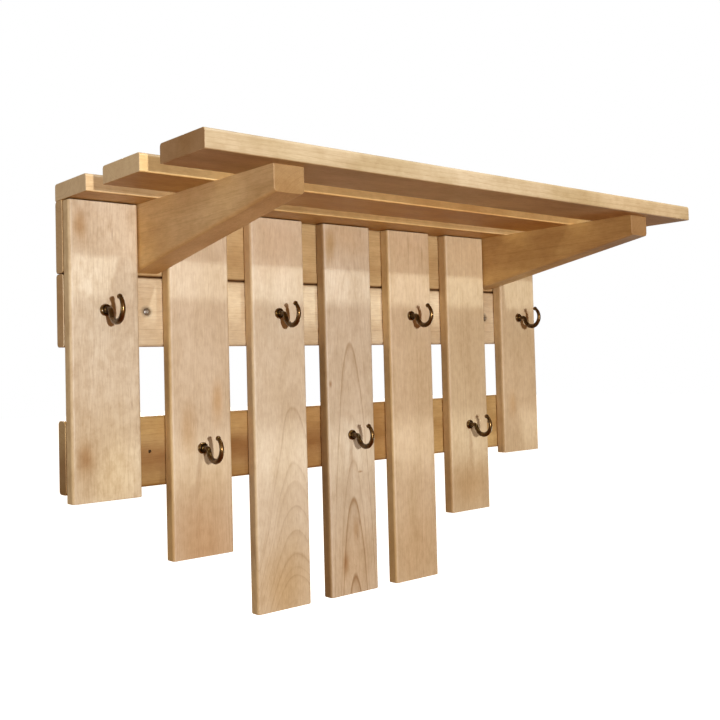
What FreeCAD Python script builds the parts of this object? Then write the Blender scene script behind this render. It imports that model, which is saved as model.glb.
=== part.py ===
import FreeCAD, Part
import math
import os

# Coat rack with a slatted shelf. Millimetres. X runs along the wall, -Y comes out of it, Z is up.
# The origin is the middle of the four wall holes, on the wall.

# planks of the slats and the rails
plank_width = 90.0
plank_thickness = 20.0
plank_round = 4.5
end_round = 1.0

# slats
slat_gap = 36.0
bracket_gap = 41.0
short_slat_reach = 370.0
middle_slat_reach = 458.0
long_slat_reach = 550.5
slat_top_gap = 1.5

# rails
rail_seam = 0.5
rail_gap = 90.0

# shelf boards
shelf_thickness = 21.5
shelf_gap = 45.0
shelf_upper_round = 4.0
shelf_under_round = 1.5

# brackets
bracket_thickness = 39.0
bracket_heel_height = 86.0
bracket_nose_height = 29.5
bracket_setback = 17.5
bracket_under_round = 5.0

# holes for the wall screws
wall_hole_radius = 2.1
wall_sink_radius = 5.0
wall_sink_depth = 4.2

# hooks: a rod that leaves its slat, dips, and rises to a small ball
hook_bend_radius = 16.4
hook_bend_reach = 31.2
hook_neck_bend = 5.0
hook_neck_radius = 2.9
hook_dip_radius = 3.05
hook_front_radius = 2.5
hook_tip_radius = 2.1
hook_ball_radius = 3.1
hook_shank_radius = 1.9
hook_shank_length = 16.0

# collars, one turned cup behind each hook
collar_radius = 7.2
collar_edge = 0.9
collar_bead = 3.4
collar_bead_radius = 5.7
collar_groove = 2.7
collar_groove_radius = 4.75
collar_height = 6.2
collar_mouth_radius = 3.5

# screws that hold the wood together
slat_screw_length = 34.0
slat_screw_radius = 1.9
slat_screw_head = 3.9
slat_screw_inset = 19.0
bracket_screw_length = 62.0
bracket_screw_radius = 2.4
bracket_screw_head = 4.8
bracket_screw_inset = 28.0
shelf_screw_length = 42.0
shelf_screw_radius = 2.0
shelf_screw_head = 4.1
shelf_screw_inset = 18.0
screw_point_length = 4.0

# fits
fit_clearance = 0.1
hole_end_clearance = 1.0

# angles in degrees and counts
hook_tip_angle = 60.0
full_turn = 360.0

# places that follow from the pieces
plank_half = plank_width / 2
upper_row = (plank_width + rail_gap) / 2
lower_row = -upper_row
upper_rail_level = upper_row + plank_width + rail_seam
shelf_level = upper_rail_level + plank_half
slat_front = -plank_thickness - plank_thickness
shelf_names = ["shelf_board_rear", "shelf_board_middle", "shelf_board_front"]
shelf_pitch = plank_width + shelf_gap
shelf_depth = shelf_pitch * len(shelf_names) - shelf_gap
bracket_nose = bracket_setback - shelf_depth
slat_pitch = plank_width + slat_gap
inner_half = 2 * slat_pitch + plank_half
bracket_centre = inner_half + bracket_gap / 2
rack_half = inner_half + bracket_gap + plank_width
outer_centre = rack_half - plank_half
slat_centres = [
    -outer_centre,
    -2 * slat_pitch,
    -slat_pitch,
    0,
    slat_pitch,
    2 * slat_pitch,
    outer_centre,
]
slat_reaches = [
    short_slat_reach,
    middle_slat_reach,
    long_slat_reach,
    long_slat_reach,
    long_slat_reach,
    middle_slat_reach,
    short_slat_reach,
]
hook_rows = [upper_row, lower_row, upper_row, lower_row, upper_row, lower_row, upper_row]
rail_levels = {
    "upper_rail": upper_rail_level,
    "screw_rail": upper_row,
    "lower_rail": lower_row,
}


def vec(x, y, z):
    return FreeCAD.Vector(x, y, z)


def save(shape, node):
    shape.exportStep("parts/" + node + ".step")


def edges_along(shape, direction):
    """The straight edges of a box that run along one of its axes."""
    found = []
    for edge in shape.Edges:
        run = edge.Vertexes[1].Point - edge.Vertexes[0].Point
        if abs(run.dot(direction)) > run.Length / 2:
            found.append(edge)
    return found


def box_between(low, high):
    size = high - low
    return Part.makeBox(size.x, size.y, size.z, low)


def ease_ends(board, grain):
    """Takes the sharpness off all round the two sawn ends of a board."""
    ends = []
    for edge in board.Edges:
        box = edge.BoundBox
        run = vec(box.XLength, box.YLength, box.ZLength).dot(grain)
        if run < box.DiagonalLength / 2:
            ends.append(edge)
    return board.makeFillet(end_round, ends)


def plank(low, high, grain):
    """A planed board between two corners: its long edges well rounded, its sawn ends just eased."""
    board = box_between(low, high)
    board = board.makeFillet(plank_round, edges_along(board, grain))
    return ease_ends(board, grain)


def turned(points, base, axis):
    """A solid turned about an axis from a list of (distance along, radius) corners."""
    corners = [vec(radius, 0, along) for along, radius in points]
    outline = Part.Face(Part.makePolygon(corners + corners[:1]))
    solid = outline.revolve(vec(0, 0, 0), vec(0, 0, 1), full_turn)
    solid.Placement = FreeCAD.Placement(base, FreeCAD.Rotation(vec(0, 0, 1), axis))
    return solid


def screw(length, radius, head, base, axis):
    """A countersunk screw whose flat head lies at the base and whose point lies along the axis."""
    points = [
        (0, 0),
        (0, head),
        (head - radius, radius),
        (length - screw_point_length, radius),
        (length, 0),
    ]
    return turned(points, base, axis)


def screw_room(length, radius, head, base, axis):
    """The hole that a countersunk screw fills, with a little room round it and past its point."""
    wide = radius + fit_clearance
    points = [
        (0, 0),
        (0, head + fit_clearance),
        (head - radius, wide),
        (length + hole_end_clearance, wide),
        (length + hole_end_clearance, 0),
    ]
    return turned(points, base, axis)


def slat_screw_places():
    """One screw for each crossing of a slat and a rail, clear of the hooks."""
    levels = [
        upper_rail_level,
        upper_row - plank_half + slat_screw_inset,
        lower_row + plank_half - slat_screw_inset,
    ]
    return [vec(x, 0, z) for x in slat_centres for z in levels]


def bracket_screw_places():
    """Two screws, one over the other, from behind the upper rail into each bracket's end."""
    high = upper_rail_level + plank_half - bracket_screw_inset
    low = upper_rail_level - plank_half + bracket_screw_inset
    return [vec(x, 0, z) for x in (-bracket_centre, bracket_centre) for z in (high, low)]


def shelf_screw_places():
    """Two screws down through each shelf board, inset from the ends of its seat on a bracket."""
    places = []
    top = shelf_level + shelf_thickness
    for row in range(len(shelf_names)):
        rear = -row * shelf_pitch
        seat_back = min(rear, -plank_thickness)
        seat_front = max(rear - plank_width, bracket_nose)
        for x in (-bracket_centre, bracket_centre):
            places.append(vec(x, seat_back - shelf_screw_inset, top))
            places.append(vec(x, seat_front + shelf_screw_inset, top))
    return places


def slat_screw(base):
    return screw(slat_screw_length, slat_screw_radius, slat_screw_head, base, vec(0, -1, 0))


def slat_screw_room(base):
    return screw_room(slat_screw_length, slat_screw_radius, slat_screw_head, base, vec(0, -1, 0))


def bracket_screw(base):
    return screw(bracket_screw_length, bracket_screw_radius, bracket_screw_head, base, vec(0, -1, 0))


def bracket_screw_room(base):
    axis = vec(0, -1, 0)
    return screw_room(bracket_screw_length, bracket_screw_radius, bracket_screw_head, base, axis)


def shelf_screw(base):
    return screw(shelf_screw_length, shelf_screw_radius, shelf_screw_head, base, vec(0, 0, -1))


def shelf_screw_room(base):
    return screw_room(shelf_screw_length, shelf_screw_radius, shelf_screw_head, base, vec(0, 0, -1))


def slat(index):
    """An upright board on the front of the rails, drilled for its hook and its screws."""
    x = slat_centres[index]
    low = vec(x - plank_half, slat_front, shelf_level - slat_reaches[index])
    high = vec(x + plank_half, -plank_thickness, shelf_level - slat_top_gap)
    board = plank(low, high, vec(0, 0, 1))
    tools = [slat_screw_room(place) for place in slat_screw_places() if place.x == x]
    drill = hook_shank_radius + fit_clearance
    depth = hook_shank_length + hole_end_clearance
    tools.append(Part.makeCylinder(drill, depth, vec(x, slat_front, hook_rows[index]), vec(0, 1, 0)))
    return board.cut(tools)


def rail(node):
    """A level board on the wall, with its screw holes and, on two of the rails, wall holes."""
    level = rail_levels[node]
    low = vec(-rack_half, -plank_thickness, level - plank_half)
    high = vec(rack_half, 0, level + plank_half)
    board = plank(low, high, vec(1, 0, 0))
    tools = [slat_screw_room(p) for p in slat_screw_places() if abs(p.z - level) < plank_half]
    tools += [bracket_screw_room(p) for p in bracket_screw_places() if abs(p.z - level) < plank_half]
    if node != "upper_rail":
        for x in (-bracket_centre, bracket_centre):
            tools.append(wall_hole(x, level, node == "screw_rail"))
    return board.cut(tools)


def wall_hole(x, level, sunk):
    """A hole right through a rail; the upper two are sunk at the front for the screw's head."""
    front = vec(x, -plank_thickness, level)
    hole = Part.makeCylinder(wall_hole_radius, plank_thickness, front, vec(0, 1, 0))
    if sunk:
        cone = Part.makeCone(wall_sink_radius, wall_hole_radius, wall_sink_depth, front, vec(0, 1, 0))
        hole = hole.fuse(cone)
    return hole


def shelf_board(row):
    """A level board of the shelf; the rear one stands on the upper rail, against the wall."""
    rear = -row * shelf_pitch
    low = vec(-rack_half, rear - plank_width, shelf_level)
    high = vec(rack_half, rear, shelf_level + shelf_thickness)
    grain = vec(1, 0, 0)
    middle = (low.z + high.z) / 2
    board = box_between(low, high)
    upper = [edge for edge in edges_along(board, grain) if edge.BoundBox.ZMin > middle]
    board = board.makeFillet(shelf_upper_round, upper)
    under = [edge for edge in edges_along(board, grain) if edge.BoundBox.ZMax < middle]
    board = board.makeFillet(shelf_under_round, under)
    board = ease_ends(board, grain)
    tools = [shelf_screw_room(p) for p in shelf_screw_places() if rear - plank_width < p.y < rear]
    return board.cut(tools)


def bracket(x):
    """A tapered arm between two slats: nearly as tall as the upper rail behind, low at its nose."""
    back = -plank_thickness
    nose = bracket_nose
    top = shelf_level
    side = x - bracket_thickness / 2
    corners = [
        vec(side, back, top),
        vec(side, nose, top),
        vec(side, nose, top - bracket_nose_height),
        vec(side, back, top - bracket_heel_height),
    ]
    outline = Part.Face(Part.makePolygon(corners + corners[:1]))
    arm = outline.extrude(vec(bracket_thickness, 0, 0))
    under = []
    for edge in arm.Edges:
        box = edge.BoundBox
        if box.ZMax < top - bracket_nose_height / 2 and box.YLength > bracket_thickness:
            under.append(edge)
    arm = arm.makeFillet(bracket_under_round, under)
    at_nose = [edge for edge in arm.Edges if edge.BoundBox.YMax < nose + end_round / 2]
    arm = arm.makeFillet(end_round, at_nose)
    tools = [bracket_screw_room(p) for p in bracket_screw_places() if p.x == x]
    tools += [shelf_screw_room(p) for p in shelf_screw_places() if p.x == x]
    return arm.cut(tools)


def hook_line(base):
    """The rod's middle line: straight out of the slat, a short turn down, then most of a circle."""
    centre = base + vec(0, -hook_bend_reach, 0)
    both = hook_bend_radius + hook_neck_bend
    across = math.sqrt(both * both - hook_neck_bend * hook_neck_bend)
    neck = centre + vec(0, across, -hook_neck_bend)
    out = (centre - neck).normalize()
    turn_start = neck + vec(0, 0, hook_neck_bend)
    turn_end = neck + out * hook_neck_bend
    turn_way = (vec(0, 0, 1) + out).normalize()
    turn_middle = neck + turn_way * hook_neck_bend
    dip = centre + vec(0, 0, -hook_bend_radius)
    front = centre + vec(0, -hook_bend_radius, 0)
    angle = math.radians(hook_tip_angle)
    tip_way = vec(0, -math.cos(angle), math.sin(angle))
    tip = centre + tip_way * hook_bend_radius
    line = Part.Wire([
        Part.LineSegment(base, turn_start).toShape(),
        Part.Arc(turn_start, turn_middle, turn_end).toShape(),
        Part.Arc(turn_end, dip, tip).toShape(),
    ])
    ring = vec(1, 0, 0)
    stations = [
        (base, vec(0, -1, 0), hook_neck_radius),
        (turn_start, vec(0, -1, 0), hook_neck_radius),
        (dip, vec(0, -1, 0), hook_dip_radius),
        (front, vec(0, 0, 1), hook_front_radius),
        (tip, ring.cross(tip_way), hook_tip_radius),
    ]
    return line, stations, tip


def hook(index):
    """A hook with its screw shank, swept along its line through rounds of changing size."""
    base = vec(slat_centres[index], slat_front, hook_rows[index])
    line, stations, tip = hook_line(base)
    rounds = []
    for place, way, radius in stations:
        rounds.append(Part.Wire(Part.makeCircle(radius, place, way)))
    rod = line.makePipeShell(rounds, True, False)
    ball = Part.makeSphere(hook_ball_radius, tip)
    shank = turned(
        [
            (0, 0),
            (0, hook_shank_radius),
            (hook_shank_length - screw_point_length, hook_shank_radius),
            (hook_shank_length, 0),
        ],
        base,
        vec(0, 1, 0),
    )
    return rod.fuse([ball, shank]).removeSplitter()


def collar(index):
    """A turned cup on the slat's face: a rounded bead, a groove inside it, and a raised mouth."""
    base = vec(slat_centres[index], slat_front, hook_rows[index])
    bore = hook_neck_radius + fit_clearance
    foot = vec(bore, 0, 0)
    rim = vec(collar_radius, 0, 0)
    edge = vec(collar_radius, 0, collar_edge)
    lean = (collar_radius - collar_bead_radius) * math.sqrt(0.5)
    bulge = vec(collar_bead_radius + lean, 0, collar_edge + (collar_bead - collar_edge) * math.sqrt(0.5))
    crest = vec(collar_bead_radius, 0, collar_bead)
    groove = vec(collar_groove_radius, 0, collar_groove)
    mouth = vec(collar_mouth_radius, 0, collar_height)
    lip = vec(bore, 0, collar_height)
    outline = Part.Wire([
        Part.LineSegment(foot, rim).toShape(),
        Part.LineSegment(rim, edge).toShape(),
        Part.Arc(edge, bulge, crest).toShape(),
        Part.LineSegment(crest, groove).toShape(),
        Part.LineSegment(groove, mouth).toShape(),
        Part.LineSegment(mouth, lip).toShape(),
        Part.LineSegment(lip, foot).toShape(),
    ])
    solid = Part.Face(outline).revolve(vec(0, 0, 0), vec(0, 0, 1), full_turn)
    solid.Placement = FreeCAD.Placement(base, FreeCAD.Rotation(vec(0, 0, 1), vec(0, -1, 0)))
    return solid


def main():
    os.makedirs("parts", exist_ok=True)
    for index in range(len(slat_centres)):
        number = str(index + 1)
        save(slat(index), "slat_" + number)
        save(hook(index), "hook_" + number)
        save(collar(index), "hook_collar_" + number)
    for node in rail_levels:
        save(rail(node), node)
    for row, node in enumerate(shelf_names):
        save(shelf_board(row), node)
    save(bracket(-bracket_centre), "bracket_left")
    save(bracket(bracket_centre), "bracket_right")
    save(Part.Compound([slat_screw(p) for p in slat_screw_places()]), "slat_screws")
    save(Part.Compound([bracket_screw(p) for p in bracket_screw_places()]), "bracket_screws")
    save(Part.Compound([shelf_screw(p) for p in shelf_screw_places()]), "shelf_screws")


main()
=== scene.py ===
from functools import partial
import bmesh
import bpy
import numpy as np
from mathutils import Matrix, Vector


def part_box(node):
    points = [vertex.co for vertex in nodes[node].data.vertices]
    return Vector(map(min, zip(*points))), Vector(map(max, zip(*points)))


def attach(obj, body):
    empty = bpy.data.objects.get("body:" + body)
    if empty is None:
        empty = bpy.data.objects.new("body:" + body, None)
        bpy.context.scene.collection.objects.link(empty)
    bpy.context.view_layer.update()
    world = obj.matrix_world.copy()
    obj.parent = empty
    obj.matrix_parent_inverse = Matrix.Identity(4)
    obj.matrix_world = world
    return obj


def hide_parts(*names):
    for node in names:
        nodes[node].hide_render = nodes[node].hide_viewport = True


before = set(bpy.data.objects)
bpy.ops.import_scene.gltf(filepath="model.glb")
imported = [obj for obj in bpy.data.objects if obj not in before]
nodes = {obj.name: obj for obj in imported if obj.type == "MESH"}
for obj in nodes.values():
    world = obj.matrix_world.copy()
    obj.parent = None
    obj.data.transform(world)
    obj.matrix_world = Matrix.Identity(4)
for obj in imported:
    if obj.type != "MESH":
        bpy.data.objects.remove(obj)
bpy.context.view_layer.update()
print("stage: the packed model is loaded")


def linearColour(hexColour):  # an sRGB hex value as the linear values that shaders take
    srgb = np.array([int(hexColour[i:i + 2], 16) for i in (0, 2, 4)]) / 255
    return (*np.where(srgb <= 0.04045, srgb / 12.92, ((srgb + 0.055) / 1.055) ** 2.4).tolist(), 1.0)


def addNode(tree, kind, *values, **settings):  # values and links go to the live inputs in turn
    node = tree.nodes.new("ShaderNode" + kind)
    for name, setting in settings.items():
        setattr(node, name, setting)
    live = [socket for socket in node.inputs if socket.enabled]
    for socket, value in zip(live, values):
        if isinstance(value, bpy.types.Node):  # a node stands for its first live output
            value = next(output for output in value.outputs if output.enabled)
        if isinstance(value, bpy.types.NodeSocket):
            tree.links.new(value, socket)
        else:
            socket.default_value = value
    return node


def newMaterial(name, colour, roughness, metallic=0.0):  # a material with its shader joined up
    material = bpy.data.materials.new(name)
    material.use_nodes = True
    tree = material.node_tree
    tree.nodes.clear()
    shader = addNode(tree, "BsdfPrincipled")
    addNode(tree, "OutputMaterial", shader)
    shader.inputs["Base Color"].default_value = linearColour(colour)
    shader.inputs["Roughness"].default_value = roughness
    shader.inputs["Metallic"].default_value = metallic
    return material, tree, shader


def dress(piece, material):  # the piece wears this material only
    piece.data.materials.clear()
    piece.data.materials.append(material)
    piece.data.polygons.foreach_set("material_index", np.zeros(len(piece.data.polygons), np.int32))


bumpFilter = 0.1  # pixels over which a bump takes its slope
mergeReach = 1e-7  # metres: joins only points that are one and the same, as those of a pole are

# Hard maple, planed, sanded and oiled: pale cream with a pink cast, silky, clouded across the grain,
# with thin tan lines where a year's growth ends. Every board is cut from a round log: its rings lie
# about a heart line that passes beside or behind its face, so faces, edges and ends agree, and where
# that line leans towards the face the rings come out as arches.
mapleWood = {
    "pale": "e3c8a8", "deep": "d6b48e",            # the two ends of the slow drift of colour
    "end": "d8b088", "endShare": 0.7,              # sawn ends drink more oil than faces
    "edgeTint": "ffffff", "faces": [],             # edges, or all that faces one way, may be darker
    "endWay": (0.6, 0.95), "sideWay": (0.3, 0.9),  # how squarely a face looks that way, none to full
    "fibreTint": "d4c3ac", "ringTint": "c0a684", "poreTint": "8a6a4a",
    "roughness": (0.42, 0.58),
    "clouds": {  # mm across, into and along the grain, then detail and roughness of the noise
        "stir": (34.0, 34.0, 130.0, 2.0, 0.45),
        "fibre": (0.8, 0.8, 13.0, 4.0, 0.62),
        "streak": (3.2, 5.0, 90.0, 2.0, 0.5),
        "figure": (9.0, 12.0, 12.0, 3.0, 0.6),
        "drift": (36.0, 60.0, 110.0, 2.0, 0.5),
    },
    "spans": {  # values of the noise between which its mark goes from nothing to its full share
        "fibre": (0.38, 0.72), "streak": (0.40, 0.70), "figure": (0.40, 0.70),
        "drift": (0.3, 0.7), "gloss": (0.2, 0.8),
    },
    "fibre": 0.44, "streak": 0.14, "figure": 0.26, "late": 0.10, "line": 0.28, "pores": 0.015,
    "heart": (0.0, 70.0), "lean": (0.0, 0.0), "bend": (0.0, 0.0), "ringMm": 3.4,
    "stirMm": (5.0, 2.0),                          # how far rings waver across and into the board
    "widthStir": (0.45, 1.6),                      # how often a year's width changes, and how much
    "yearRise": (0.45, 0.96), "lineSharp": 6.0,    # when late wood starts and peaks within a year
    "lateLeast": 0.1,                              # late wood in the palest year
    "poreMm": (4.0, 4.0, 12.0), "poreRim": (0.06, 0.13), "poreShare": 0.6,
    "reliefMm": 0.03, "bump": 0.35, "sinks": (-0.6, -1.0),  # lines and pores lie under the fibre
    "marks": [], "markMargin": 4.0,
    "markShape": ((-1.1, 0.0), (-0.3, 0.35), (0.0, 1.0), (0.25, 0.0)),  # mm off, part of its share
    "stainsAndShade": [], "seedStep": 7.3,
    "spotPull": (0.9, 30.0, 60.0),                # its rim wanders by this part, at most these mm
}


def woodMaterial(name, board):
    look = {**mapleWood, **board}
    material, tree, shader = newMaterial(name, look["pale"], look["roughness"][0])
    add = partial(addNode, tree)

    # millimetres across the board, into it and along its grain, from its own zero point
    xyz = add("SeparateXYZ", add("TexCoord").outputs["Object"])
    turned = add("CombineXYZ", *(xyz.outputs["XYZ".index(axis)] for axis in look["axes"]))
    grid = add("Mapping", turned, [-v for v in look["zero"]], (0, 0, 0), (1000, 1000, 1000))
    apart = (look["seed"], look["seed"] * look["seedStep"], 0)  # each board's own noise
    clouds = {}
    for key, (across, deep, along, detail, rough) in look["clouds"].items():
        scales = (1 / across, 1 / deep, 1 / along)
        stretched = add("Mapping", grid, apart, (0, 0, 0), scales)
        clouds[key] = add("TexNoise", stretched, 1.0, detail, rough)
    stir = add("VectorMath", clouds["stir"].outputs["Color"], (0.5, 0.5, 0.5), operation="SUBTRACT")
    stirred = add("VectorMath", stir, (*look["stirMm"], 0.0), grid, operation="MULTIPLY_ADD")

    def spot(a, l, wide, tall):  # 1 at the middle of an oval with loose edges, 0 past its rim
        share, *most = look["spotPull"]
        pull = (min(wide * share, most[0]), 0.0, min(tall * share, most[1]))
        loose = add("VectorMath", stir, pull, grid, operation="MULTIPLY_ADD")
        oval = add("Mapping", loose, (-a / wide, 0, -l / tall), (0, 0, 0), (1 / wide, 0, 1 / tall))
        far = add("VectorMath", oval, operation="LENGTH")
        return add("MapRange", far, 0.0, 1.0, 1.0, 0.0, interpolation_type="SMOOTHSTEP")

    # reach: distance from the heart line, which leans and may bend away
    along = add("SeparateXYZ", grid).outputs[2]
    heart = add("VectorMath", (*look["lean"], 1.0), along, operation="SCALE")
    beside = add("VectorMath", stirred, heart, operation="SUBTRACT")
    beside = add("VectorMath", beside, (*look["heart"], 0.0), operation="SUBTRACT")
    reach = add("VectorMath", beside, operation="LENGTH")
    start, bend = look["bend"]
    if bend:
        past = add("Math", add("Math", start, along, operation="SUBTRACT"), 0.0, operation="MAXIMUM")
        past = add("Math", past, 2.0, operation="POWER")
        reach = add("Math", past, -bend, reach, operation="MULTIPLY_ADD")

    # rings: each year has its own width and darkness and ends in a thin line, sharp on its far side
    years = add("Math", reach, look["ringMm"], operation="DIVIDE")
    often, much = look["widthStir"]
    slow = add("Math", years, often, look["seed"], operation="MULTIPLY_ADD")
    uneven = add("TexNoise", slow, 1.0, 1.0, noise_dimensions="1D")
    years = add("Math", uneven, much, years, operation="MULTIPLY_ADD")
    within = add("Math", years, operation="FRACT")
    year = add("Math", years, within, operation="SUBTRACT")
    seeded = add("Math", year, look["seed"], operation="ADD")
    tone = add("TexWhiteNoise", seeded, noise_dimensions="1D")
    begins, peaks = look["yearRise"]
    rise = add("MapRange", within, begins, peaks, 0.0, 1.0, interpolation_type="SMOOTHSTEP")
    fall = add("MapRange", within, peaks, 1.0, 1.0, 0.0, interpolation_type="SMOOTHSTEP")
    sharp = add("Math", rise, look["lineSharp"], operation="POWER")
    line = add("Math", sharp, fall, operation="MULTIPLY")
    line = add("Math", line, tone, operation="MULTIPLY")
    dark = add("MapRange", tone, 0.0, 1.0, look["lateLeast"], 1.0)
    late = add("Math", rise, dark, operation="MULTIPLY")

    # pores: short dark dashes along the grain, few of them open enough to see
    small = add("Mapping", grid, (0, 0, look["seed"]), (0, 0, 0), [1 / v for v in look["poreMm"]])
    cells = add("TexVoronoi", small, 1.0, feature="F1")
    dash = add("MapRange", cells, *look["poreRim"], 1.0, 0.0, interpolation_type="SMOOTHSTEP")
    chosen = add("SeparateXYZ", cells.outputs["Color"])
    chosen = add("MapRange", chosen, 1.0 - look["pores"], 1.01 - look["pores"])
    dash = add("Math", dash, chosen, operation="MULTIPLY")

    # colour: a slow drift, darkened in turn by each kind of mark
    spans = look["spans"]
    drift = add("MapRange", clouds["drift"], *spans["drift"], interpolation_type="SMOOTHSTEP")
    colours = linearColour(look["pale"]), linearColour(look["deep"])
    colour = add("Mix", drift, *colours, data_type="RGBA")
    layers = []
    for key in ("fibre", "streak", "figure"):
        cloud = add("MapRange", clouds[key], *spans[key], 0.0, look[key])
        layers.append((cloud, look["fibreTint"]))
    for mark, share, tint in ((late, "late", "fibreTint"), (line, "line", "ringTint"),
                              (dash, "poreShare", "poreTint")):
        layers.append((add("Math", mark, look[share], operation="MULTIPLY"), look[tint]))
    if look["marks"]:  # the rings that stand out on this board, each a radius in mm and a share
        radii = [radius for radius, _ in look["marks"]]
        first, last = min(radii) - look["markMargin"], max(radii) + look["markMargin"]
        marked = add("ValToRGB", add("MapRange", reach, first, last))
        stops = marked.color_ramp.elements
        stops[1].color = stops[0].color
        for radius, share in look["marks"]:
            for step, portion in look["markShape"]:
                stop = stops.new((radius + step - first) / (last - first))
                stop.color = (*[share * portion] * 3, 1.0)
        layers.append((marked, look["ringTint"]))
    # stains of the wood, and dark spots of painted shade in the screw sinks and open wall holes
    for a, l, wide, tall, share, tint in look["stainsAndShade"]:
        layers.append((add("Math", spot(a, l, wide, tall), share, operation="MULTIPLY"), tint))
    normal = add("SeparateXYZ", add("NewGeometry").outputs["Normal"])
    facing = add("Math", normal.outputs["XYZ".index(look["axes"][2])], operation="ABSOLUTE")
    end = add("MapRange", facing, *look["endWay"], 0.0, look["endShare"])
    facing = add("Math", normal.outputs["XYZ".index(look["axes"][0])], operation="ABSOLUTE")
    layers.append((add("MapRange", facing, *look["sideWay"]), look["edgeTint"]))
    for way, tint in look["faces"]:
        normal = add("NewGeometry").outputs["Normal"]
        facing = add("VectorMath", normal, way, operation="DOT_PRODUCT")
        layers.append((add("MapRange", facing, *look["sideWay"]), tint))
    colour = add("Mix", end, colour, linearColour(look["end"]), data_type="RGBA")
    for share, tint in layers:
        tint = linearColour(tint)
        colour = add("Mix", share, colour, tint, data_type="RGBA", blend_type="MULTIPLY")

    gloss = add("MapRange", clouds["fibre"], *spans["gloss"], *look["roughness"])
    lineSink, poreSink = look["sinks"]
    height = add("Math", line, lineSink, clouds["fibre"], operation="MULTIPLY_ADD")
    height = add("Math", dash, poreSink, height, operation="MULTIPLY_ADD")
    bump = add("Bump", look["bump"], look["reliefMm"] / 1000, bumpFilter, height)
    tree.links.new(colour.outputs[2], shader.inputs["Base Color"])
    tree.links.new(gloss.outputs[0], shader.inputs["Roughness"])
    tree.links.new(bump.outputs[0], shader.inputs["Normal"])
    return material


def dressBoards(boards, common):
    # a board's zero is the middle across, the low side into it, and zero along its grain
    across, into = ("XYZ".index(axis) for axis in common["axes"][:2])
    for index, (name, board) in enumerate(boards.items()):
        low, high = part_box(name)
        zero = ((low[across] + high[across]) * 500, low[into] * 1000, 0.0)
        look = {**common, **board, "zero": zero, "seed": index + common["firstSeed"]}
        dress(nodes[name], woodMaterial("maple_" + name, look))


# slats: grain upright; zero is the middle of the face at the level of the wall holes.
# heart is mm beside the middle and mm behind the face, lean is how many mm it moves across and in
# for each mm up, and bend draws the rings in by the square of the way below its first value. Marks
# are mm from the heart with a share. Stains, and spots of painted shade, are mm from the middle,
# mm up, half-width, half-height, then share and tint.
slatLook = {"axes": "XYZ", "firstSeed": 1.3, "end": "eadcc6"}
slatBoards = {
    "slat_1": {
        "pale": "f2e4c8", "deep": "e5d3b4", "edgeTint": "fff7e6", "heart": (40.0, 25.0),
        "lean": (0.01, 0.02), "stirMm": (16.0, 10.0), "figure": 0.45, "line": 0.2,
        "stainsAndShade": [(-30, 195, 14, 32, 0.8, "d8bc94"), (10, 183, 1.2, 12, 0.6, "a5805a"),
                   (-27, -92, 16, 32, 0.8, "d4b68c"), (32, -27, 1.5, 9, 0.5, "b08860"),
                   (0, -120, 90, 150, 0.9, "f0e7d2")],
    },
    "slat_2": {
        "pale": "eddabb", "deep": "e3ceac", "edgeTint": "f9edcb", "heart": (160.0, 40.0),
        "ringMm": 2.6, "line": 0.2,
        "stainsAndShade": [(22, -30, 16, 46, 0.7, "ead0a8"), (-20, -60, 20, 50, 0.5, "ecd4b0"),
                   (0, -215, 90, 120, 0.62, "dcb887"), (0, -125, 90, 80, 0.9, "f6f1e7")],
    },
    "slat_3": {
        "pale": "f2e2c5", "deep": "e9d7b7", "edgeTint": "fbf2de", "heart": (20.0, 80.0),
        "lean": (0.0, 0.06), "bend": (-100.0, 0.00042), "stirMm": (12.0, 1.6), "ringMm": 4.6,
        "line": 0.10,
        "marks": [(82.4, 0.12), (77.3, 0.4), (72.2, 0.3), (66.0, 0.3), (61.0, 0.3), (55.5, 0.3),
                  (49.5, 0.3)],
        "stainsAndShade": [(0, -300, 80, 100, 0.9, "ecdcc0"), (0, 185, 90, 70, 0.9, "f9f2ec")],
    },
    "slat_4": {
        "pale": "eedec2", "deep": "e1cfb1", "edgeTint": "c2ad8c", "heart": (0.0, 60.0),
        "lean": (0.0, 0.04), "stirMm": (6.0, 0.9), "ringMm": 3.0, "line": 0.16,
        "marks": [(66.3, 0.2), (61.8, 0.55), (54.8, 0.35), (52.5, 0.9), (48.0, 0.9)],
        "stainsAndShade": [(-34, 195, 16, 44, 0.8, "d0bb92"), (0, 210, 80, 50, 0.8, "faf0e0"),
                   (-38, -12, 4, 8, 0.7, "b98c5e"), (3, -232, 9, 30, 0.5, "d0ac78"),
                   (-17, -280, 9, 26, 0.7, "d2ae78"), (14, -146, 7, 2.5, 0.7, "c09868"),
                   (0, -290, 90, 110, 0.45, "e2c69c"), (10, -222, 1.5, 8, 0.5, "a07848"),
                   (5, -240, 1.4, 10, 0.5, "a07848")],
    },
    "slat_5": {
        "pale": "edd6b1", "deep": "e3cba3", "edgeTint": "f3e7c9", "heart": (60.0, 120.0),
        "ringMm": 4.2, "line": 0.16,
        "stainsAndShade": [(-2, 200, 1.6, 34, 0.35, "b08a60"), (27, 180, 1.8, 50, 0.35, "b08a60"),
                   (0, -280, 80, 100, 0.3, "e2c89e")],
    },
    "slat_6": {
        "pale": "edd8b0", "deep": "e3cca3", "edgeTint": "e4d4ba", "heart": (130.0, 5.0),
        "line": 0.34, "stainsAndShade": [(0, -190, 80, 60, 0.45, "e0c69a")],
    },
    "slat_7": {
        "pale": "f0dab3", "deep": "e5cea5", "edgeTint": "f1e7d4", "heart": (-120.0, 60.0),
        "line": 0.2, "stainsAndShade": [(-24, -60, 16, 40, 0.5, "e6cca2")],
    },
}
dressBoards(slatBoards, slatLook)
print("stage: slats are dressed")

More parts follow.
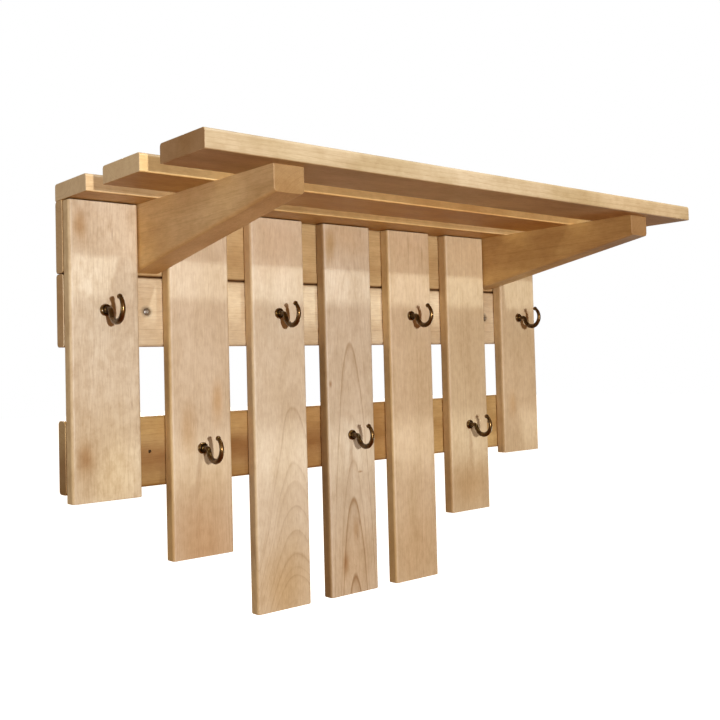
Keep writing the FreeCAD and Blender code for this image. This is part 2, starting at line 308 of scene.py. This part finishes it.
# rails: grain along X, across is up; a darker, oranger maple than the slats
railLook = {"axes": "ZYX", "firstSeed": 11.3, "ringMm": 3.8, "line": 0.2}
railBoards = {
    "upper_rail": {
        "pale": "dec18c", "deep": "caa975", "end": "d3b790", "heart": (-140.0, 60.0),
        # its underside, at the seam with the screw rail, is darkened: painted shade in the seam
        "faces": [((0, 0, -1), "9a7c5c")],
    },
    "screw_rail": {
        "pale": "f4e3c0", "deep": "e2cba3", "end": "bb915a", "heart": (90.0, 70.0),
        # its top, at the seam with the upper rail, is darkened: painted shade in the seam
        "faces": [((0, 0, 1), "9a7c5c")],
        # dark rings round the wall screws: painted shade in the countersinks
        "stainsAndShade": [(0, -317.5, 10.0, 10.0, 1.0, "1c1008"), (0, 317.5, 10.0, 10.0, 1.0, "1c1008")],
    },
    "lower_rail": {  # heartwood runs along its lower half and fades out to the right
        "pale": "dabb7f", "deep": "c49f61", "end": "b9a17c", "heart": (-110.0, 50.0),
        "stainsAndShade": [(-6, -230, 34, 480, 1.0, "c0a68b"), (-42, -300, 34, 560, 1.0, "c2ae90"),
                   (0, -10, 300, 330, 1.0, "e9d7c8"),
                   # dark round spots at the open wall holes: painted shade in the holes
                   (0, -317.5, 2.6, 2.6, 1.0, "46301e"), (0, 317.5, 2.6, 2.6, 1.0, "46301e")],
    },
}
dressBoards(railBoards, railLook)

# shelf boards: grain along X, across is away from the wall, into the board is up
shelfLook = {"axes": "YZX", "firstSeed": 21.3, "line": 0.2}
shelfBoards = {
    "shelf_board_rear": {
        "pale": "f0d2a0", "deep": "d9b983", "end": "ecd9b8", "heart": (30.0, 55.0),
        # the underside is tinted darker and warmer as painted shade, the top is tinted bluer
        "faces": [((0, 0, -1), "e3d4ac"), ((0, 0, 1), "eff6ff")],
        "stainsAndShade": [(0, 60, 200, 380, 1.0, "f8eccd")],
    },
    "shelf_board_middle": {
        "pale": "fddfa0", "deep": "ebc483", "end": "ecd9b8", "heart": (-20.0, 65.0),
        # the underside is tinted darker and warmer as painted shade, the top is tinted bluer
        "faces": [((0, 0, -1), "dbceac"), ((0, 0, 1), "e5e9ff")],
        "stainsAndShade": [(0, 60, 200, 380, 1.0, "eed7be")],
    },
    "shelf_board_front": {
        "pale": "dcc8a3", "deep": "c6b086", "end": "a2703c", "heart": (8.0, 50.0),
        # the underside is tinted darker and warmer as painted shade
        "faces": [((0, 0, -1), "f7e9ce")], "stainsAndShade": [(0, 330, 200, 420, 1.0, "fff7ea")],
    },
}
dressBoards(shelfBoards, shelfLook)

# brackets: grain along Y, across is up
bracketLook = {"axes": "ZXY", "firstSeed": 31.3, "heart": (-20.0, 60.0), "line": 0.2}
bracketBoards = {
    "bracket_left": {
        # its underside is tinted warmer: painted shade colour
        "pale": "ecca94", "deep": "d7b07a", "end": "a98450", "faces": [((0, 0, -1), "fffdeb")],
        "stainsAndShade": [(-10, -50, 90, 110, 1.0, "ece1c5")],
    },
    "bracket_right": {
        "pale": "e0c083", "deep": "c5a168", "end": "c19967",
        "faces": [((-1, 0, 0), "f1e5d1"), ((1, 0, 0), "f1e5d1")],
        "stainsAndShade": [(10, -300, 90, 110, 0.9, "e2d7d0")],
    },
}
dressBoards(bracketBoards, bracketLook)
print("stage: rails, shelf and brackets are dressed")

# hooks and collars: cast brass, chemically browned and clear lacquered. Dark olive brown, mottled
# where the brown took unevenly, rubbed to yellow where coats touch it, with small highlights.
brassLook = {
    "dark": "33230c", "worn": "74562a", "rubbed": "a8804e", "roughness": (0.34, 0.24),
    "mottleMm": 2.2, "mottleNoise": (3.0, 0.6), "mottleSpan": (0.35, 0.75),
    "pitMm": 0.5, "pitDetail": 2.0, "pitDepthMm": 0.05, "bump": 0.25,
    "lacquer": 0.45, "lacquerRoughness": 0.06,
}
brass, tree, shader = newMaterial("browned_brass", brassLook["dark"], brassLook["roughness"][0], 1.0)
shader.inputs["Coat Weight"].default_value = brassLook["lacquer"]
shader.inputs["Coat Roughness"].default_value = brassLook["lacquerRoughness"]
place = addNode(tree, "TexCoord").outputs["Object"]
mottle = addNode(tree, "TexNoise", place, 1000 / brassLook["mottleMm"], *brassLook["mottleNoise"])
mottle = addNode(tree, "MapRange", mottle, *brassLook["mottleSpan"])
colours = linearColour(brassLook["dark"]), linearColour(brassLook["worn"])
tint = addNode(tree, "Mix", mottle, *colours, data_type="RGBA")
gloss = addNode(tree, "MapRange", mottle, 0.0, 1.0, *brassLook["roughness"])
pits = addNode(tree, "TexNoise", place, 1000 / brassLook["pitMm"], brassLook["pitDetail"])
pitDepth = brassLook["pitDepthMm"] / 1000
bump = addNode(tree, "Bump", brassLook["bump"], pitDepth, bumpFilter, pits)
rub = addNode(tree, "Attribute", attribute_name="rub").outputs["Fac"]
rubbed = linearColour(brassLook["rubbed"])
tint = addNode(tree, "Mix", rub, tint.outputs[2], rubbed, data_type="RGBA")
tree.links.new(tint.outputs[2], shader.inputs["Base Color"])
tree.links.new(gloss.outputs[0], shader.inputs["Roughness"])
tree.links.new(bump.outputs[0], shader.inputs["Normal"])

# mm: the shank in the slat, how far the middle of the big bend stands off it, both bends' radii, the
# ball at the tip, and the rod's radius at stations given as shares of its line. Droop is in degrees
# for each hook. The places and widths of the rubs are shares of the line too.
hookLook = {
    "shank": (16.0, 1.9), "reach": 31.2, "bend": 16.2, "neckBend": 5.0, "tipTurn": 60.0, "ball": 3.4,
    "stations": (0.0, 0.13, 0.21, 0.48, 0.79, 0.95, 1.0),
    "radii": (3.1, 3.25, 3.5, 3.75, 3.05, 2.6, 2.5),
    "droop": (0.0, 0.0, 3.5, 0.0, 0.0, 0.0, 0.0), "steps": 180, "ballSteps": 14, "round": 32,
    "rub": 0.65, "rubAt": 0.76, "rubWide": 0.14, "ballRub": 0.6, "ballRubFrom": (0.97, 0.04),
}
collarLook = {  # mm off the slat and radius, from the foot of the cup over its bead to the mouth
    "outline": (
        (0.0, 0.0), (0.0, 7.5), (0.35, 7.7), (0.9, 7.7), (1.6, 7.5), (2.3, 7.1), (2.9, 6.6),
        (3.3, 6.1), (3.4, 5.7), (3.3, 5.35), (3.0, 5.05), (2.75, 4.8), (2.8, 4.6), (3.3, 4.45),
        (4.4, 4.25), (5.4, 4.05), (5.95, 3.9), (6.2, 3.6), (6.2, 0.0),
    ),
    "round": 64, "rub": 0.5, "rubAt": 7.2, "rubWide": 0.6, "rubFrom": 0.8,
}


def closedPiece(name, grid, material, rub=None):
    # grid: rows of points round a line, each joined to the next row, for one body or for several;
    # a row of no radius closes to a pole. Castings bring their worn share and are shaded smooth.
    index = np.arange(grid[..., 0].size).reshape(grid.shape[:-1])
    low, high = index[..., :-1, :], index[..., 1:, :]
    quads = np.stack([low, high, np.roll(high, -1, -1), np.roll(low, -1, -1)], -1)
    mesh = bpy.data.meshes.new(name)
    mesh.from_pydata(grid.reshape(-1, 3).tolist(), [], quads.reshape(-1, 4).tolist())
    if rub is not None:
        worn = mesh.attributes.new("rub", "FLOAT", "POINT")
        worn.data.foreach_set("value", rub.ravel().astype(np.float32))
    work = bmesh.new()
    work.from_mesh(mesh)
    bmesh.ops.remove_doubles(work, verts=work.verts, dist=mergeReach)
    bmesh.ops.recalc_face_normals(work, faces=work.faces)
    work.to_mesh(mesh)
    work.free()
    if rub is not None:
        mesh.polygons.foreach_set("use_smooth", np.ones(len(mesh.polygons), bool))
    piece = bpy.data.objects.new(name, mesh)
    bpy.context.scene.collection.objects.link(piece)
    mesh.materials.append(material)
    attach(piece, "root")
    return piece


def hookGrid(base, droop):
    # The middle line runs straight out of the slat, turns down round a small arc and then follows
    # most of a circle. Round it lies a circle square to the line, whose radius goes by the stations.
    # Near the end the radius is that of a sphere about the line's end, which closes it.
    look = hookLook
    lean = np.arcsin(look["neckBend"] / (look["bend"] + look["neckBend"]))
    neckY = (look["bend"] + look["neckBend"]) * np.cos(lean) - look["reach"]
    lengths = np.array([-neckY, look["neckBend"] * (np.pi / 2 - lean),
                        look["bend"] * (np.pi + np.radians(look["tipTurn"]) - lean)])
    total = lengths.sum()
    past = look["ball"] * np.sin(np.linspace(0, np.pi / 2, look["ballSteps"])[1:])
    walk = np.concatenate([np.linspace(0, total, look["steps"]), total + past])
    straight = np.clip(walk, 0, lengths[0])
    neck = np.clip(walk - lengths[0], 0, lengths[1]) / look["neckBend"]
    bend = np.clip(walk - lengths[0] - lengths[1], 0, lengths[2]) / look["bend"]
    heading = np.pi + neck - bend
    y = np.where(bend > 0, look["bend"] * np.cos(lean + bend) - look["reach"],
                 -straight - look["neckBend"] * np.sin(neck))
    z = np.where(bend > 0, -look["bend"] * np.sin(lean + bend),
                 look["neckBend"] * (np.cos(neck) - 1))
    beyond = np.clip(walk - total, 0, None)
    y, z = y + np.cos(heading) * beyond, z + np.sin(heading) * beyond
    ball = np.sqrt(np.clip(look["ball"] ** 2 - (walk - total) ** 2, 0, None))
    radius = np.interp(walk / total, look["stations"], look["radii"]) * (walk <= total)
    radius = np.maximum(radius, ball)
    depth, thin = look["shank"]
    y, z = np.concatenate([[depth, depth, 0], y]), np.concatenate([[0, 0, 0], z])
    radius = np.concatenate([[0, thin, thin], radius])
    heading = np.concatenate([[np.pi] * 3, heading])
    turn = np.linspace(0, 2 * np.pi, look["round"], endpoint=False)
    across, off = radius[:, None] * np.cos(turn), radius[:, None] * np.sin(turn)
    out = y[:, None] - np.sin(heading)[:, None] * off
    up = z[:, None] + np.cos(heading)[:, None] * off
    # rubbed: the outer side of the front arm, and the ball
    share = (np.concatenate([[0, 0, 0], walk]) / total)[:, None]
    rub = np.exp(-((share - look["rubAt"]) / look["rubWide"]) ** 2) * np.clip(np.sin(turn), 0, 1)
    start, grows = look["ballRubFrom"]
    ballRub = np.clip((share - start) / grows, 0, 1) * look["rub"] * look["ballRub"]
    rub = np.maximum(rub * look["rub"], ballRub)
    droop = np.radians(droop)
    out, up = out * np.cos(droop) - up * np.sin(droop), out * np.sin(droop) + up * np.cos(droop)
    return np.stack([across, out, up], -1) / 1000 + base, rub


def collarGrid(base):  # the outline turned about the hook's line
    off, radius = np.array(collarLook["outline"]).T
    turn = np.linspace(0, 2 * np.pi, collarLook["round"], endpoint=False)
    across, up = radius[:, None] * np.cos(turn), radius[:, None] * np.sin(turn)
    rub = np.exp(-((radius - collarLook["rubAt"]) / collarLook["rubWide"]) ** 2)
    rub = rub * (off > collarLook["rubFrom"])
    rub = np.broadcast_to(rub[:, None] * collarLook["rub"], across.shape)
    return np.stack([across, -off[:, None] + 0 * turn, up], -1) / 1000 + base, rub


for number, droop in enumerate(hookLook["droop"], 1):
    low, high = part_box("hook_collar_%d" % number)
    base = np.array([(low.x + high.x) / 2, high.y, (low.z + high.z) / 2])
    grid, rub = collarGrid(base)
    collar = closedPiece("castCollar%d" % number, grid, brass, rub)
    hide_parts("hook_collar_%d" % number)
    grid, rub = hookGrid(base, droop)
    hook = closedPiece("castHook%d" % number, grid, brass, rub)
    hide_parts("hook_%d" % number)
print("stage: hooks and collars are cast")

# screws: turned steel, zinc plated, which gives a pale grey, dull shine. A cross is pressed in the
# head. Metres; spin is how far each screw's cross is turned from that of the last one, in radians
screwLook = {
    "colour": "d6d2ca", "roughness": 0.32,
    "rings": 14, "turns": 56, "crossArm": 0.62, "crossWidth": 0.17, "crossSoft": 0.07,
    "crossDepth": 0.42, "point": 0.004, "spin": 1.1,
    "slat_screws": {"length": 0.034, "shank": 0.0019, "head": 0.0039, "dome": 0.0, "inset": 0.019},
    "bracket_screws": {
        "length": 0.062, "shank": 0.0024, "head": 0.0048, "dome": 0.0, "inset": 0.028,
    },
    "shelf_screws": {"length": 0.042, "shank": 0.0020, "head": 0.0041, "dome": 0.0, "inset": 0.018},
    "wall_screws": {
        "length": 0.0186, "shank": 0.0019, "head": 0.0032, "dome": 0.0012, "sunk": 0.0012,
    },
}
steel = newMaterial("zinc_plated_steel", screwLook["colour"], screwLook["roughness"], 1.0)[0]


def screwGrid(size, places, axis):
    # Turned about the axis: a head whose middle stands over its rim by the dome, a cone under it, a
    # shank and a point. In the head, depth is the pressed cross: full where the point lies inside
    # either arm, easing out over its rim.
    look = screwLook
    flat = np.linspace(0, 1, look["rings"])
    radius = np.concatenate([flat * size["head"], [size["shank"], size["shank"], 0.0]])
    cone = size["dome"] + size["head"] - size["shank"]
    below = [cone, size["length"] - look["point"], size["length"]]
    sink = np.concatenate([flat ** 2 * size["dome"], below])
    turn = np.linspace(0, 2 * np.pi, look["turns"], endpoint=False)
    spin = np.arange(len(places))[:, None, None] * look["spin"]
    x = radius[None, :, None] * np.cos(turn)[None, None, :]
    y = radius[None, :, None] * np.sin(turn)[None, None, :]
    wide, tall = np.abs(x) / size["head"], np.abs(y) / size["head"]
    arms = []
    for beside, out in ((wide, tall), (tall, wide)):
        edge = np.clip((look["crossWidth"] - beside) / look["crossSoft"], 0, 1)
        arms.append(edge * np.clip((look["crossArm"] - out) / look["crossSoft"], 0, 1))
    inHead = (np.arange(len(radius)) < look["rings"] - 1)[None, :, None]
    cross = np.maximum(*arms) * inHead * look["crossDepth"] * size["head"]
    across = np.cos(spin) * x - np.sin(spin) * y
    up = np.sin(spin) * x + np.cos(spin) * y
    depth = np.broadcast_to(sink[None, :, None] + cross, across.shape)
    # the axis points out of the head into the wood
    grids = {"Y": (across, depth, up), "-Y": (across, -depth, up), "-Z": (across, up, -depth)}
    return np.stack(grids[axis], -1) + np.array(places)[:, None, None, :]


slatMiddles = [(low.x + high.x) / 2 for low, high in map(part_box, slatBoards)]
bracketMiddles = [(low.x + high.x) / 2 for low, high in map(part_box, bracketBoards)]
upperLow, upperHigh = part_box("upper_rail")
middleLow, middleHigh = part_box("screw_rail")
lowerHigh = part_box("lower_rail")[1]
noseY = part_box("bracket_left")[0].y

size = screwLook["slat_screws"]
inset = size["inset"]
levels = [(upperLow.z + upperHigh.z) / 2, middleLow.z + inset, lowerHigh.z - inset]
places = [(x, 0.0, z) for x in slatMiddles for z in levels]
screws = closedPiece("slatScrews", screwGrid(size, places, "-Y"), steel)
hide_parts("slat_screws")

size = screwLook["bracket_screws"]
inset = size["inset"]
places = [(x, 0.0, z) for x in bracketMiddles for z in (upperHigh.z - inset, upperLow.z + inset)]
screws = closedPiece("bracketScrews", screwGrid(size, places, "-Y"), steel)
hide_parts("bracket_screws")

size = screwLook["shelf_screws"]
inset = size["inset"]
places = []
for low, high in map(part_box, shelfBoards):
    seatBack, seatFront = min(high.y, middleLow.y), max(low.y, noseY)
    places += [(x, y, high.z) for x in bracketMiddles for y in (seatBack - inset, seatFront + inset)]
screws = closedPiece("shelfScrews", screwGrid(size, places, "-Z"), steel)
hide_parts("shelf_screws")

size = screwLook["wall_screws"]
level = (middleLow.z + middleHigh.z) / 2
places = [(x, middleLow.y + size["sunk"], level) for x in bracketMiddles]
closedPiece("wallScrews", screwGrid(size, places, "Y"), steel)
print("stage: screws are made")

# floor, light and camera. The floor is matt white paint, lit from within so that it shows plain
# white, and it throws no light of its own on the rack
floorLook = {"level": -1.35, "half": 30.0, "colour": "ffffff", "roughness": 0.8, "glow": 1.0}
low, half = floorLook["level"], floorLook["half"]
floorMesh = bpy.data.meshes.new("floor")
corners = [(-half, -half, low), (half, -half, low), (half, half, low), (-half, half, low)]
floorMesh.from_pydata(corners, [], [(0, 1, 2, 3)])
floor = bpy.data.objects.new("floor", floorMesh)
bpy.context.scene.collection.objects.link(floor)
paint, _, shader = newMaterial("pale_floor_paint", floorLook["colour"], floorLook["roughness"])
shader.inputs["Emission Color"].default_value = linearColour(floorLook["colour"])
shader.inputs["Emission Strength"].default_value = floorLook["glow"]
floorMesh.materials.append(paint)
floor.visible_diffuse = False
floor.visible_glossy = False

# the flash beside the camera, whose shadows fall right of the hooks, the lamp over the shelf that
# shines down between its boards and leaves a bright band across the slats, light thrown back from
# the right, a lamp for the back, and a window at the left
lamps = {
    "keyLamp": {
        "at": (-0.975, -2.79, 0.12), "watts": 216.0, "radius": 0.05, "colour": (1.04, 1.045, 1.08),
    },
    "ceilingLamp": {
        "at": (0.16, -1.05, 1.576), "watts": 74.0, "radius": 0.05, "colour": (0.76, 0.88, 1.0),
    },
    "bounceLamp": {
        "at": (1.45, -0.06, -0.45), "watts": 10.0, "radius": 0.20, "colour": (0.8, 1.05, 1.0),
    },
    "backLamp": {
        "at": (0.9, 2.4, 0.9), "watts": 116.0, "radius": 0.30, "colour": (1.0, 0.96, 0.90),
    },
    "windowLamp": {
        "at": (-1.9, -0.15, 0.15), "watts": 15.4, "radius": 0.20, "colour": (0.95, 1.0, 0.95),
    },
}
for name, lamp in lamps.items():
    light = bpy.data.lights.new(name, "POINT")
    light.energy = lamp["watts"]
    light.shadow_soft_size = lamp["radius"]
    light.color = lamp["colour"]
    holder = bpy.data.objects.new(name, light)
    holder.location = lamp["at"]
    bpy.context.scene.collection.objects.link(holder)

# a room that the camera sees as white, and that lights the rack softly from each side in its own way
roomLook = {
    "seen": "ffffff",
    "sides": {
        "above": ((0, 0, 1), (0.55, 0.385, 0.22)), "below": ((0, 0, -1), (0.22, 0.0495, 0)),
        "left": ((-1, 0, 0), (0.055, 0.0605, 0.0605)),
        "right": ((1, 0, 0), (0.055, 0.044, 0.033)),
        "front": ((0, -1, 0), (0.085, 0.031, 0)), "back": ((0, 1, 0), (0.055, 0.044, 0.033)),
    },
}
world = bpy.data.worlds.new("room")
bpy.context.scene.world = world
world.use_nodes = True
tree = world.node_tree
tree.nodes.clear()
way = addNode(tree, "TexCoord").outputs["Generated"]
fill = (0.0, 0.0, 0.0)
for side, colour in roomLook["sides"].values():
    share = addNode(tree, "VectorMath", way, side, operation="DOT_PRODUCT")
    share = addNode(tree, "Math", share, 0.0, operation="MAXIMUM")
    lit = addNode(tree, "VectorMath", colour, share, operation="SCALE")
    fill = addNode(tree, "VectorMath", fill, lit, operation="ADD")
seen = addNode(tree, "LightPath").outputs["Is Camera Ray"]
sky = addNode(tree, "Mix", seen, fill, linearColour(roomLook["seen"]), data_type="RGBA")
addNode(tree, "OutputWorld", addNode(tree, "Background", sky))

# where the photograph was taken from, in metres, and its focal length and middle in its own pixels
view = {
    "at": (-0.90362, -1.16887, 0.01098),
    "right": (0.7367578, -0.67557271, -0.02809741),
    "forward": (0.67615037, 0.73593393, 0.03495615),
    "up": (-0.00293758, -0.04475229, 0.9989938),
    "focalPixels": 961.55, "middle": (414.96, 331.76), "pixels": 720,
    "sensorMm": 36.0, "farthest": 100.0,
}
camera = bpy.data.cameras.new("photograph")
camera.sensor_width = view["sensorMm"]
camera.lens = view["sensorMm"] * view["focalPixels"] / view["pixels"]
camera.shift_x = 0.5 - view["middle"][0] / view["pixels"]
camera.shift_y = view["middle"][1] / view["pixels"] - 0.5
camera.clip_end = view["farthest"]
eye = bpy.data.objects.new("photograph", camera)
columns = [view["right"], view["up"], tuple(-v for v in view["forward"]), view["at"]]
eye.matrix_world = Matrix([*zip(*columns), (0, 0, 0, 1)])
bpy.context.scene.collection.objects.link(eye)
bpy.context.scene.camera = eye
bpy.context.scene.view_settings.view_transform = "Standard"
print("stage: floor, light and camera are set")
